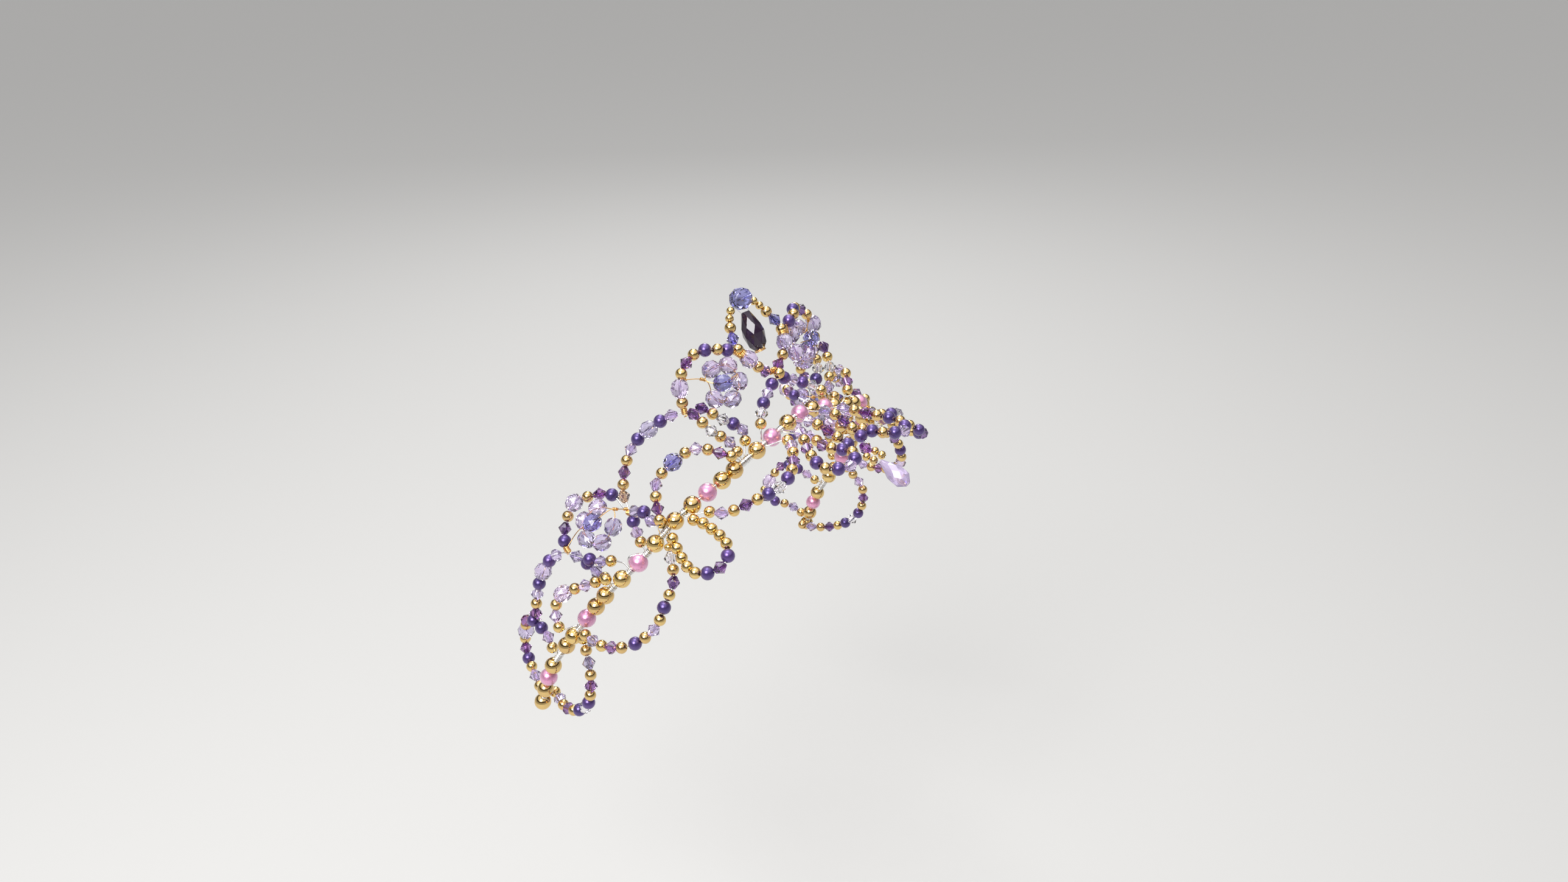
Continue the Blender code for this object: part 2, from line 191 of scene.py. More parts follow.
# Name, start, points between, end, air between beads, beads
STRINGS = (
    ("peak_string", (5, 24.5, 38), ((8, 23, 35), (10, 21, 32), (12, 17, 27), (9, 13, 22), (5, 12, 18)),
     (1.6, 11.6, 16), 0, "seed seed gold blue gold round gold violet"),
    ("upper_flower_loop", (14.8, 17, 27),
     ((20, 17.5, 29), (26, 22, 29), (32.5, 22.5, 25.5), (36.5, 21, 20), (36, 20, 12)),
     (35.5, 20, 10.6), 0, "pearl gold pearl gold violet gold round gold knot:crest"),
    ("centre_leg", (1.6, 10, 14), ((4, 9, 12.5), (11, 7, 9), (17, 3.5, 4.8)), 19.4, 0,
     "pearl lilac pearl clear gold fit"),
    ("outer_crest_leg", "crest", ((36, 16, 12), (33, 11, 6), (28, 8, 1)), 28.9, 0,
     "violet gold clear gold lilac gold fit"),
    ("inner_crest_leg", "crest", ((31, 17, 12), (27, 12, 8), (20.5, 8.3, 2.2)), 27.2, 0,
     "wire:1.8 violet gold clear pearl lilac gold fit"),
    ("upper_back_arch", "crest", ((40, 26, 9), (45, 34, 1), (49, 36, -7), (53, 34, -15)), "flower", 0,
     "lilac pearl round pearl lilac gold violet gold champagne"),
    ("forehead_loop", 11,
     ((12, -9, 3), (18, -17, 0.5), (22, -26, -1), (16, -32, -1), (9, -28, 0), (9, -17, -1.2), (6, -9, -1)),
     11, 0, "fit lilac gold violet gold pearl gold pearl lilac pearl gold pearl gold violet gold lilac fit"),
    ("centre_string", 3.5, ((5, -9, 4), (4.6, -15, 2.4), (3.8, -23, -1), (2.5, -29, -4)),
     (2.4, -33.4, -4.8), 0, "fit lilac gold violet gold pearl fit seed seed"),
    ("upper_inner_arch", 30,
     ((32.4, 3, -1.2), (36, 5.5, 1), (39.5, 9, 2.8), (41, 14, 1.5), (46, 18.5, -3), (51, 20, -7.5),
      (55, 17, -12), (58.3, 12.8, -15.8), (60.2, 12, -17.2)), 65.8, TUBE_AIR,
     "wire:2.9 gold violet gold lilac gold round_blue gold lilac gold violet gold fit"),
    ("lower_flower_loop", 64.5,
     ((55.3, 15.5, -18.8), (56.3, 19, -19.3), (55, 24, -17.6), (55.3, 29, -20), (53, 34, -21.3),
      (51.2, 42, -19), (55.5, 48.5, -20), (59.5, 52, -22.2), (64.8, 51.5, -29.6), (68.5, 47, -34.2),
      (67, 41, -36.8), (67.1, 36, -38.8), (67.1, 32.2, -39.8)), 91.5, TUBE_AIR,
     "wire:0.4 gold lilac pearl lilac knot:flower fit pearl violet gold round gold violet pearl"
     " knot:side wire:0.6 lilac pearl lilac gold fit"),
    ("upper_inner_string", "flower", ((55.7, 27.3, -23.2), (57.5, 24.5, -25), (60, 20, -26.8)), 74,
     TUBE_AIR, "pearl lilac gold fit"),
    ("lower_inner_string", "side", ((67, 34, -34.8), (66, 30, -33.6), (65, 24.5, -32.8)), 82.5,
     TUBE_AIR, "fit pearl lilac gold fit"),
    ("lower_back_arch", "side",
     ((70, 51, -36.8), (70.5, 54, -39.5), (71.5, 56.5, -43.5), (73, 59.3, -52), (73.8, 61.3, -63.3)),
     (73.5, 61, -65), TUBE_AIR, "lilac pearl round pearl lilac gold violet fit"),
    ("lower_inner_arch", 91.5,
     ((70.3, 27.8, -37.8), (73.3, 34.5, -41.2), (76.8, 42, -45.3), (78.7, 44.2, -51), (79, 42.7, -58.4)),
     113.2, TUBE_AIR, "wire:0.4 gold gold lilac gold round gold lilac gold fit"),
    ("end_back_loop", (72.5, 60, -64.8),
     ((73.8, 62, -65.5), (73.5, 67, -67.8), (71, 71.3, -75), (70, 74, -82), (72, 71, -85),
      (75, 65.5, -86.5), (77, 61, -88.5)), 152.9, TUBE_AIR,
     "wire:1.1 pearl violet gold round gold violet pearl gold lilac gold fit"),
    ("end_string", (73, 60, -65), ((74.2, 59.5, -66), (75.4, 54, -68.3), (77.4, 49.2, -71.5)), 129,
     TUBE_AIR, "wire:1.1 pearl lilac gold fit"),
    ("end_front_loop", 152.9,
     ((73.9, 55.3, -93.5), (77.2, 48, -93.6), (79.3, 40, -91), (80.3, 32.5, -85.3), (81, 28.7, -78),
      (80.2, 28.5, -68.5), (76.8, 34.3, -59.6)), 113.2, TUBE_AIR,
     "wire:1.6 gold lilac gold violet gold pearl clear pearl gold violet gold lilac gold gold fit"),
    ("side_front_arch", 112.3,
     ((78.3, 31.3, -56.6), (79, 22.5, -57), (77, 12.3, -54), (72.6, 4.5, -46.8), (69, 2.7, -39),
      (64, 2.8, -32), (59, 8.8, -26.1)), 65, TUBE_AIR,
     "wire:3.2 gold lilac gold violet gold wire:1.3 pearl gold lilac gold pearl gold violet gold clear"
     " seed fit"),
    ("gold_loop", 56,
     ((51.2, 5, -16.6), (51.3, -1, -16.7), (53.3, -10.5, -18.7), (57, -13.8, -22), (61, -11.5, -25.2),
      (63.3, -5.5, -26.6), (61.2, 1.2, -25), (57.6, 8.6, -21.4)), 63.6, TUBE_AIR,
     "wire:1 gold gold gold gold gold pearl violet pearl gold gold gold gold gold fit"),
    ("front_arch", 55.9,
     ((46.9, 2.3, -14.9), (44.5, -4, -14.2), (38.5, -10, -10.8), (35.2, -15.5, -7), (33, -18, -4.6),
      (26, -16.2, -2.8), (19.3, -11.5, -0.6), (14, -5, -0.2)), 19.4, TUBE_AIR,
     "wire:5.6 gold lilac gold violet gold pearl clear pearl gold violet gold lilac gold fit"),
)


def anchor(end, side):
    """The point that a string's wire is tied to."""
    if isinstance(end, tuple):
        return place(end, side)
    if isinstance(end, str):
        return place(KNOTS[end], side)
    return band_point(end, side)[0]


def end_point(end, toward, side):
    """Where a string's beads may start: short of a knot, clear of the band, or at a plain point."""
    centre = anchor(end, side)
    if isinstance(end, tuple):
        return centre
    away = toward - centre
    if isinstance(end, str):
        return centre + KNOT_CLEAR * away.normalized()
    along = band_point(end, side)[1]
    return centre + FOOT_CLEAR * (away - along * away.dot(along)).normalized()


def string_route(start, between, end, side):
    points = place_all(between, side)
    return Route([end_point(start, points[0], side), *points, end_point(end, points[-1], side)])


def length_of(word, air, fit=0.0):
    """The length along the wire of a bead, of bare wire such as wire:2, or of the fitted wire."""
    if word == "fit":
        return fit
    if word.startswith("wire:"):
        return float(word.removeprefix("wire:"))
    return LENGTHS[word] + air


def fill(words, start, end, air):
    """Thread beads between two distances, the slack going to the fitted wires or both ends."""
    slack = end - start - sum(length_of(word, air) for word in words)
    fits = words.count("fit")
    edge = start if fits else start + slack / 2
    threaded = []
    for word in words:
        length = length_of(word, air, slack / max(fits, 1))
        if word in LENGTHS:
            threaded.append((edge + length / 2, word))
        edge += length
    return threaded


def thread(route, words, air=0, side=1):
    """Each bead's middle along the route; a word such as knot:side binds the wire at that knot."""
    threaded = []
    waiting = []
    edge = 0.0
    half = LENGTHS["bind"] / 2
    for word in words.split():
        if word.startswith("knot:"):
            middle = route.nearest(place(KNOTS[word.removeprefix("knot:")], side))
            threaded += fill(waiting, edge, middle - half, air)
            threaded.append((middle, "bind"))
            edge = middle + half
            waiting = []
        else:
            waiting.append(word)
    return threaded + fill(waiting, edge, route.length, air)


print("Strings on each side:", len(STRINGS))

# %% [markdown]
# ## Working in edit mode from a script
#
# By hand one would click the faces to change. A script picks them by where they are or which way
# they face instead. The helper below does that, and everything is deselected first, because an
# operator acts on all that is selected.

# %% Helpers for edit mode
HALF_TURN = math.pi
FULL_TURN = 2 * math.pi
SAME_POINT = 0.000001


def deselect_all():
    bpy.ops.object.select_all(action="DESELECT")


def pick_faces(test):
    """In edit mode, select only the faces that pass a test."""
    mesh = bpy.context.edit_object.data
    shape = bmesh.from_edit_mesh(mesh)
    bpy.ops.mesh.select_all(action="DESELECT")
    for face in shape.faces:
        face.select_set(test(face))
    bmesh.update_edit_mesh(mesh)


def keep_shape(name):
    """Leave edit mode, keep the mesh of the bead just made and take its object away."""
    bpy.ops.mesh.select_all(action="SELECT")
    bpy.ops.mesh.remove_doubles(threshold=SAME_POINT)
    bpy.ops.mesh.normals_make_consistent(inside=False)
    bpy.ops.object.mode_set(mode="OBJECT")
    bead = bpy.context.object
    mesh = bead.data
    mesh.name = name
    bpy.data.objects.remove(bead)
    print(f"{name}: {len(mesh.polygons)} faces")
    return mesh


# %% [markdown]
# ## Gold balls and pearls
#
# A gold ball is a hollow metal bead, and a glass pearl is a glass ball with a pearly coat. Both
# are drilled through, and the drill leaves a small ring round the hole. A UV sphere has its poles
# where the hole comes out, so the fan of triangles at each pole is dissolved into one face, which
# is inset for the rim and pushed in for the hole.

# %% Round beads with a drilled hole
# The rim as a share of the radius, and how many times a hole's depth goes into the bead's length
RIM_SHARE = 0.06
HOLES_IN_LENGTH = 6
SMOOTH_BELOW = math.radians(50)


def sink_hole(reach, rim, depth):
    """Turn the faces past a height at both ends into a rim and a hole, in edit mode."""
    for end in (1, -1):
        pick_faces(lambda face: face.calc_center_median().z * end > reach)
        bpy.ops.mesh.dissolve_faces()
        bpy.ops.mesh.inset(thickness=rim)
        bpy.ops.mesh.extrude_region_move(TRANSFORM_OT_translate={"value": (0, 0, -end * depth)})


def round_bead(name, width, length, segments, rings):
    deselect_all()
    radius = width / 2 * MM
    bpy.ops.mesh.primitive_uv_sphere_add(segments=segments, ring_count=rings, radius=radius)
    bpy.ops.object.mode_set(mode="EDIT")
    bpy.ops.transform.resize(value=(1, 1, length / width))
    pole = length / 2 * MM * math.cos(HALF_TURN / rings)
    sink_hole(pole, radius * RIM_SHARE, length / HOLES_IN_LENGTH * MM)
    bpy.ops.object.mode_set(mode="OBJECT")
    bpy.ops.object.shade_smooth_by_angle(angle=SMOOTH_BELOW)
    bpy.ops.object.mode_set(mode="EDIT")
    return keep_shape(name)


# Name, width, length along the hole, segments and rings
SHAPES = {
    "big": round_bead("band_ball", BAND_BEAD, 5.9, 24, 14),
    "pink": round_bead("pink_pearl", PINK_PEARL, 6.2, 24, 14),
    "gold": round_bead("gold_ball", GOLD_BEAD, 3.9, 16, 10),
    "seed": round_bead("seed_ball", SEED_BEAD, 2.7, 14, 8),
    "pearl": round_bead("violet_pearl", PEARL, 4.5, 18, 12),
}

# %% [markdown]
# ## Cut crystals
#
# A cut bead has flat faces in rows, and each row is turned half a step against the next, so the
# light breaks up. Here a ring of corners is extruded up row by row, scaled to the width of that
# row and turned half a step, and the four-sided faces between are then cut along their shorter
# diagonal. The hole goes right through, because it shows in clear glass: both ends are inset,
# opened, and bridged inside the stone.

# %% Cut beads: rings of corners, each turned half a step
def cut_rings(sides, rings):
    """Stack rings, given as width and height in millimetres, in a new closed solid."""
    deselect_all()
    width, height = rings[0]
    bpy.ops.mesh.primitive_circle_add(vertices=sides, radius=width / 2 * MM, fill_type="NGON",
                                      location=(0, 0, 0))
    bpy.ops.object.mode_set(mode="EDIT")
    bpy.ops.transform.translate(value=(0, 0, height * MM))
    for next_width, next_height in rings[1:]:
        rise = (next_height - height) * MM
        scale = next_width / width
        centre = (0, 0, next_height * MM)
        bpy.ops.mesh.extrude_region_move(TRANSFORM_OT_translate={"value": (0, 0, rise)})
        bpy.ops.transform.resize(value=(scale, scale, 1), center_override=centre)
        bpy.ops.transform.rotate(value=HALF_TURN / sides, orient_axis="Z", center_override=centre)
        width, height = next_width, next_height


def cut_facets():
    """Split the twisted faces between rings along their shorter diagonal."""
    pick_faces(lambda face: len(face.verts) == 4)
    bpy.ops.mesh.quads_convert_to_tris(quad_method="SHORTEST_DIAGONAL")


def bore_through(end_width):
    """Open both flat ends and join them by the wall of a straight hole."""
    bpy.ops.mesh.select_all(action="SELECT")
    bpy.ops.mesh.normals_make_consistent(inside=False)
    pick_faces(lambda face: len(face.verts) > 4)
    bpy.ops.mesh.inset(thickness=(end_width - BORE) / 2 * MM)
    bpy.ops.mesh.delete(type="FACE")
    bpy.ops.mesh.select_all(action="DESELECT")
    bpy.ops.mesh.select_mode(type="EDGE")
    bpy.ops.mesh.select_non_manifold(extend=False)
    bpy.ops.mesh.bridge_edge_loops()
    bpy.ops.mesh.select_mode(type="FACE")


def cut_bead(name, sides, rings):
    cut_rings(sides, rings)
    cut_facets()
    bore_through(rings[-1][0])
    return keep_shape(name)


def both_ways(rows):
    """Rows given from the widest one up, with all but the widest mirrored to the lower half."""
    return [(width, -height) for width, height in reversed(rows[1:])] + list(rows)


BICONE_HALF = ((BICONE, 0), (1.7, 2.1))
ROUND_HALF = ((ROUND_CRYSTAL, 0), (5.0, 2.0), (2.6, 3.0))
TOP_HALF = ((TOP_CRYSTAL, 0), (6.6, 2.5), (3.6, 3.9))
SHAPES["bicone"] = cut_bead("bicone", 8, both_ways(BICONE_HALF))
SHAPES["faceted_round"] = cut_bead("faceted_round", 8, both_ways(ROUND_HALF))
SHAPES["top_crystal"] = cut_bead("top_round", 8, both_ways(TOP_HALF))

# %% [markdown]
# ## Drops
#
# A briolette is a long pointed drop covered in triangular facets. It is cut in the same way as a
# round bead, with more rows, and its top is too narrow for a hole along it. It hangs by a thread
# through its tip instead, so it stays solid.

# %% Briolettes
def cut_drop(name, sides, rings):
    cut_rings(sides, rings)
    cut_facets()
    return keep_shape(name)


BRIOLETTE_ROWS = ((2.9, 0), (4.4, 1.8), (7.0, 5.2), (8.0, 8.0), (6.3, 12.0), (3.2, 14.0))
PALE_DROP_ROWS = ((1.4, 9.0), (3.6, 11.8), (5.9, 14.5), (6.5, 16.7), (5.9, 18.9), (2.2, 21.0))
SHAPES["briolette"] = cut_drop("briolette", 7, BRIOLETTE_ROWS)
SHAPES["pale_drop"] = cut_drop("pale_drop", 8, PALE_DROP_ROWS)

# %% [markdown]
# ## Colour that changes from bead to bead
#
# No two beads of a string are the same shade. Each copy gets one random number, stored on its
# mesh as an attribute, and a small node group turns that number into a shift of colour. The
# group is built once and every finish uses it with its own strength.

# %% A node group for each bead's own shade
def new_group(name, inputs, outputs):
    """An empty shader group with named sockets, its input node and its output node."""
    group = bpy.data.node_groups.new(name, "ShaderNodeTree")
    for socket, kind, value in inputs:
        made = group.interface.new_socket(socket, in_out="INPUT", socket_type=kind)
        made.default_value = value
    for socket, kind in outputs:
        group.interface.new_socket(socket, in_out="OUTPUT", socket_type=kind)
    start = group.nodes.new("NodeGroupInput")
    end = group.nodes.new("NodeGroupOutput")
    return group, start, end


def math_node(nodes, operation, socket, value):
    """A maths node with one of its inputs set."""
    node = nodes.new("ShaderNodeMath")
    node.operation = operation
    node.inputs[socket].default_value = value
    return node


# The middle of a bead's number, and the hue and brightness that change nothing
MIDDLE_TONE = 0.5
SAME_HUE = 0.5
SAME_VALUE = 1.0


def bead_shade_group():
    """Shift hue and brightness by the bead's own number."""
    group, start, end = new_group(
        "bead_shade",
        (("Colour", "NodeSocketColor", (1, 1, 1, 1)), ("Hue Shift", "NodeSocketFloat", 0.02),
         ("Shade", "NodeSocketFloat", 0.2)),
        (("Colour", "NodeSocketColor"), ("Tone", "NodeSocketFloat")),
    )
    nodes, links = group.nodes, group.links
    tone = nodes.new("ShaderNodeAttribute")
    tone.attribute_name = "bead_tone"
    centred = math_node(nodes, "SUBTRACT", 1, MIDDLE_TONE)
    hue = math_node(nodes, "MULTIPLY_ADD", 2, SAME_HUE)
    value = math_node(nodes, "MULTIPLY_ADD", 2, SAME_VALUE)
    shift = nodes.new("ShaderNodeHueSaturation")
    links.new(tone.outputs["Fac"], centred.inputs[0])
    links.new(centred.outputs[0], hue.inputs[0])
    links.new(start.outputs["Hue Shift"], hue.inputs[1])
    links.new(centred.outputs[0], value.inputs[0])
    links.new(start.outputs["Shade"], value.inputs[1])
    links.new(start.outputs["Colour"], shift.inputs["Color"])
    links.new(hue.outputs[0], shift.inputs["Hue"])
    links.new(value.outputs[0], shift.inputs["Value"])
    links.new(shift.outputs["Color"], end.inputs["Colour"])
    links.new(tone.outputs["Fac"], end.inputs["Tone"])
    return group


BEAD_SHADE = bead_shade_group()
print("Group:", BEAD_SHADE.name, "with", len(BEAD_SHADE.nodes), "nodes")

# %% [markdown]
# ## Signs of handling
#
# Metal and pearls that are handled get dull patches and hairline scratches. One noise changes the
# roughness in patches, and a much finer one makes a faint bump. The finishes share this group too,
# and a wire looks more worn than a gold ball by its numbers alone.

# %% A node group for dull patches and hairlines
# Noise values between which a patch fades in, and the hairlines' scale and depth
PATCH_FROM = 0.42
PATCH_TO = 0.68
PATCH_DETAIL = 3.0
SCRATCH_SCALE = 2600.0
SCRATCH_DETAIL = 2.0
SCRATCH_DEPTH = 0.00003


def handling_group():
    """Faint dull patches and hairline scratches, as on metal and pearls that are handled."""
    group, start, end = new_group(
        "handling",
        (("Patch Size", "NodeSocketFloat", 900.0), ("Smooth", "NodeSocketFloat", 0.1),
         ("Dull", "NodeSocketFloat", 0.25), ("Scratch", "NodeSocketFloat", 0.1)),
        (("Roughness", "NodeSocketFloat"), ("Normal", "NodeSocketVector")),
    )
    nodes, links = group.nodes, group.links
    place_on = nodes.new("ShaderNodeTexCoord")
    patches = nodes.new("ShaderNodeTexNoise")
    patches.inputs["Detail"].default_value = PATCH_DETAIL
    spread = nodes.new("ShaderNodeMapRange")
    spread.inputs["From Min"].default_value = PATCH_FROM
    spread.inputs["From Max"].default_value = PATCH_TO
    scratches = nodes.new("ShaderNodeTexNoise")
    scratches.inputs["Scale"].default_value = SCRATCH_SCALE
    scratches.inputs["Detail"].default_value = SCRATCH_DETAIL
    bump = nodes.new("ShaderNodeBump")
    bump.inputs["Distance"].default_value = SCRATCH_DEPTH
    links.new(place_on.outputs["Object"], patches.inputs["Vector"])
    links.new(start.outputs["Patch Size"], patches.inputs["Scale"])
    links.new(patches.outputs["Fac"], spread.inputs["Value"])
    links.new(start.outputs["Smooth"], spread.inputs["To Min"])
    links.new(start.outputs["Dull"], spread.inputs["To Max"])
    links.new(place_on.outputs["Object"], scratches.inputs["Vector"])
    links.new(start.outputs["Scratch"], bump.inputs["Strength"])
    links.new(scratches.outputs["Fac"], bump.inputs["Height"])
    links.new(spread.outputs["Result"], end.inputs["Roughness"])
    links.new(bump.outputs["Normal"], end.inputs["Normal"])
    return group


HANDLING = handling_group()
print("Group:", HANDLING.name, "with", len(HANDLING.nodes), "nodes")

# %% [markdown]
# ## Metal finishes
#
# Polished gold is nearly a mirror, so its colour comes from what it reflects. Only the faint
# dull patches and hairlines tell the eye that it is a real surface. The wires use the same two
# groups with other colours and a little more wear.

# %% Gold, silver wire and copper wire
METAL_HUE_SHIFT = 0.01
METAL_SHADE = 0.12


def start_finish(name):
    """A new material, its shader and its node tree."""
    material = bpy.data.materials.new(name)
    material.use_nodes = True
    return material, material.node_tree.nodes["Principled BSDF"], material.node_tree


def add_group(tree, group, **values):
    """A group placed in a material, its sockets set by name with spaces for underscores."""
    node = tree.nodes.new("ShaderNodeGroup")
    node.node_tree = group
    for socket, value in values.items():
        node.inputs[socket.replace("_", " ")].default_value = value
    return node


def metal_finish(name, colour, smooth, dull, scratch):
    material, shader, tree = start_finish(name)
    tone = add_group(tree, BEAD_SHADE, Colour=(*colour, 1), Hue_Shift=METAL_HUE_SHIFT, Shade=METAL_SHADE)
    wear = add_group(tree, HANDLING, Smooth=smooth, Dull=dull, Scratch=scratch)
    shader.inputs["Metallic"].default_value = 1.0
    tree.links.new(tone.outputs["Colour"], shader.inputs["Base Color"])
    tree.links.new(wear.outputs["Roughness"], shader.inputs["Roughness"])
    tree.links.new(wear.outputs["Normal"], shader.inputs["Normal"])
    return material


# Name, colour, roughness where it is smooth and where it is dull, and strength of the hairlines
FINISHES = {
    "gold": metal_finish("polished_gold", (0.78, 0.55, 0.23), 0.08, 0.18, 0.06),
    "silver_wire": metal_finish("silver_wire", (0.80, 0.79, 0.78), 0.14, 0.28, 0.15),
    "copper_wire": metal_finish("copper_wire", (0.84, 0.50, 0.18), 0.16, 0.3, 0.15),
}

# %% [markdown]
# ## Pearl finishes
#
# A glass pearl looks paler at its edges than in the middle, and that paler edge is a painted sheen: a Layer
# Weight node blends the base colour from the middle colour to a paler edge colour as the surface turns away
# from the eye. A clear coat over a rougher base gives the sharp highlight inside a soft one.

# %% Pearls
PEARL_HUE_SHIFT = 0.02
PEARL_SHADE = 0.3
PEARL_DULLER = 0.14
PEARL_SCRATCH = 0.12
# How fast the painted sheen comes in towards the pearls' edges
SHEEN_EDGE_BLEND = 0.35
PEARL_METALLIC = 0.7
PEARL_COAT = 0.5
PEARL_COAT_ROUGHNESS = 0.1

# A mix of colours has its share, its two colours and its result in sockets with these numbers
MIX_SHARE = 0
MIX_FIRST = 6
MIX_SECOND = 7
MIX_RESULT = 2


def pearl_finish(name, middle, edge, roughness):
    material, shader, tree = start_finish(name)
    tone = add_group(tree, BEAD_SHADE, Colour=(*middle, 1), Hue_Shift=PEARL_HUE_SHIFT, Shade=PEARL_SHADE)
    wear = add_group(tree, HANDLING, Smooth=roughness, Dull=roughness + PEARL_DULLER, Scratch=PEARL_SCRATCH)
    # Painted sheen: the base colour turns from the middle colour to the paler edge colour towards the
    # outline
    facing = tree.nodes.new("ShaderNodeLayerWeight")
    facing.inputs["Blend"].default_value = SHEEN_EDGE_BLEND
    painted_sheen = tree.nodes.new("ShaderNodeMix")
    painted_sheen.data_type = "RGBA"
    painted_sheen.inputs[MIX_SECOND].default_value = (*edge, 1)
    tree.links.new(facing.outputs["Facing"], painted_sheen.inputs[MIX_SHARE])
    tree.links.new(tone.outputs["Colour"], painted_sheen.inputs[MIX_FIRST])
    tree.links.new(painted_sheen.outputs[MIX_RESULT], shader.inputs["Base Color"])
    tree.links.new(wear.outputs["Roughness"], shader.inputs["Roughness"])
    tree.links.new(wear.outputs["Normal"], shader.inputs["Normal"])
    shader.inputs["Metallic"].default_value = PEARL_METALLIC
    shader.inputs["Coat Weight"].default_value = PEARL_COAT
    shader.inputs["Coat Roughness"].default_value = PEARL_COAT_ROUGHNESS
    return material


# Middle colour, paler edge colour of the painted sheen, and roughness
FINISHES["pink_pearl"] = pearl_finish("pink_pearl", (0.73, 0.31, 0.52), (0.86, 0.58, 0.75), 0.26)
FINISHES["violet_pearl"] = pearl_finish("violet_pearl", (0.090, 0.050, 0.21), (0.17, 0.11, 0.31), 0.27)

# %% [markdown]
# ## Cut glass
#
# Cut glass is clear with a little colour. The Principled shader does that with Transmission
# Weight. The colour is a tint on what passes through, so a bead seen through two walls looks
# deeper than at its edge. Darker and milkier stones let less light pass.

# %% Crystals
CRYSTAL_ROUGHNESS = 0.02
CRYSTAL_IOR = 1.56


def crystal_finish(name, colour, passing=1.0, shade=0.25, hue=0.05):
    material, shader, tree = start_finish(name)
    tone = add_group(tree, BEAD_SHADE, Colour=(*colour, 1), Hue_Shift=hue, Shade=shade)
    tree.links.new(tone.outputs["Colour"], shader.inputs["Base Color"])
    shader.inputs["Roughness"].default_value = CRYSTAL_ROUGHNESS
    shader.inputs["IOR"].default_value = CRYSTAL_IOR
    shader.inputs["Transmission Weight"].default_value = passing
    return material


FINISHES["lilac_crystal"] = crystal_finish("lilac_crystal", (0.78, 0.68, 0.93), passing=0.95)
FINISHES["violet_crystal"] = crystal_finish("violet_crystal", (0.37, 0.20, 0.48))
FINISHES["clear_crystal"] = crystal_finish("clear_crystal", (0.97, 0.95, 0.98), hue=0.0, shade=0.05)
FINISHES["champagne_crystal"] = crystal_finish("champagne_crystal", (0.95, 0.80, 0.62))
FINISHES["blue_crystal"] = crystal_finish("blue_crystal", (0.36, 0.34, 0.74), hue=0.02)
FINISHES["amethyst"] = crystal_finish("amethyst", (0.035, 0.020, 0.045), passing=0.6)
FINISHES["milky_lilac"] = crystal_finish("milky_lilac", (0.56, 0.49, 0.70), passing=0.7)
FINISHES["thread"] = crystal_finish("clear_thread", (0.96, 0.96, 0.97), passing=0.9, hue=0.0, shade=0.0)
print("Finishes:", ", ".join(FINISHES))

# %% [markdown]
# ## Copies, joined by finish
#
# A string has many beads but only a few finishes. Each bead is a copy with a mesh of its own,
# moved and turned to its place on the wire, and the copies of one finish are joined, so a string
# becomes a handful of pieces. Each piece takes the place of the plain solid with its name.

# %% Place copies and join them into a piece
# Each word's shape and finish
THREADED = {
    "big": ("big", "gold"), "pink": ("pink", "pink_pearl"), "gold": ("gold", "gold"),
    "seed": ("seed", "gold"), "pearl": ("pearl", "violet_pearl"), "lilac": ("bicone", "lilac_crystal"),
    "violet": ("bicone", "violet_crystal"), "clear": ("bicone", "clear_crystal"),
    "champagne": ("bicone", "champagne_crystal"), "blue": ("bicone", "blue_crystal"),
    "round": ("faceted_round", "lilac_crystal"), "round_blue": ("faceted_round", "blue_crystal"),
}
DICE_START = 11
dice = random.Random(DICE_START)


def give_tone(mesh, tone):
    """Store one number on every corner of a mesh, for the finish to read."""
    tones = mesh.attributes.new("bead_tone", "FLOAT", "POINT")
    tones.data.foreach_set("value", [tone] * len(mesh.vertices))


def set_bead(shape, centre, along, spin=None):
    """A copy of a bead with its hole along a direction, turned on the wire by chance."""
    turned = dice.uniform(0, FULL_TURN) if spin is None else spin
    mesh = SHAPES[shape].copy()
    facing = along.to_track_quat("Z", "Y").to_matrix().to_4x4()
    mesh.transform(Matrix.Translation(centre * MM) @ facing @ Matrix.Rotation(turned, 4, "Z"))
    give_tone(mesh, dice.random())
    bead = bpy.data.objects.new("bead", mesh)
    bpy.context.scene.collection.objects.link(bead)
    return bead


def join_piece(name, parts, slot, *nodes):
    """Join parts into one named piece with one finish, in place of its CAD nodes."""
    deselect_all()
    for part in parts:
        part.select_set(True)
    bpy.context.view_layer.objects.active = parts[0]
    if len(parts) > 1:
        bpy.ops.object.join()
    piece = bpy.context.object
    piece.name = name
    piece.data.name = name
    piece.data.materials.clear()
    piece.data.materials.append(FINISHES[slot])
    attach(piece, "root")
    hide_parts(*nodes)
    return piece


def join_by_finish(name, threaded, nodes):
    """Join beads, given as slot and object, into one piece for each slot."""
    for slot in sorted({slot for slot, bead in threaded}):
        beads = [bead for found, bead in threaded if found == slot]
        join_piece(f"{name}_{slot}", beads, slot, *nodes)


# %% [markdown]
# ## Wire
#
# A wire is a curve with a round bevel, which is then made into a mesh. The binding turns are the
# same thing with its points on a helix. The helix winds round a stretch of another line, so it
# follows the band or the string that it binds.

# %% Draw a wire, or wind one round a line
TURN_POINTS = 9
FEWEST_TURNS = 1.5

# How much wider or narrower the turns get, and how fast that comes and goes
UNEVEN = 0.05
UNEVEN_RATE = 0.37


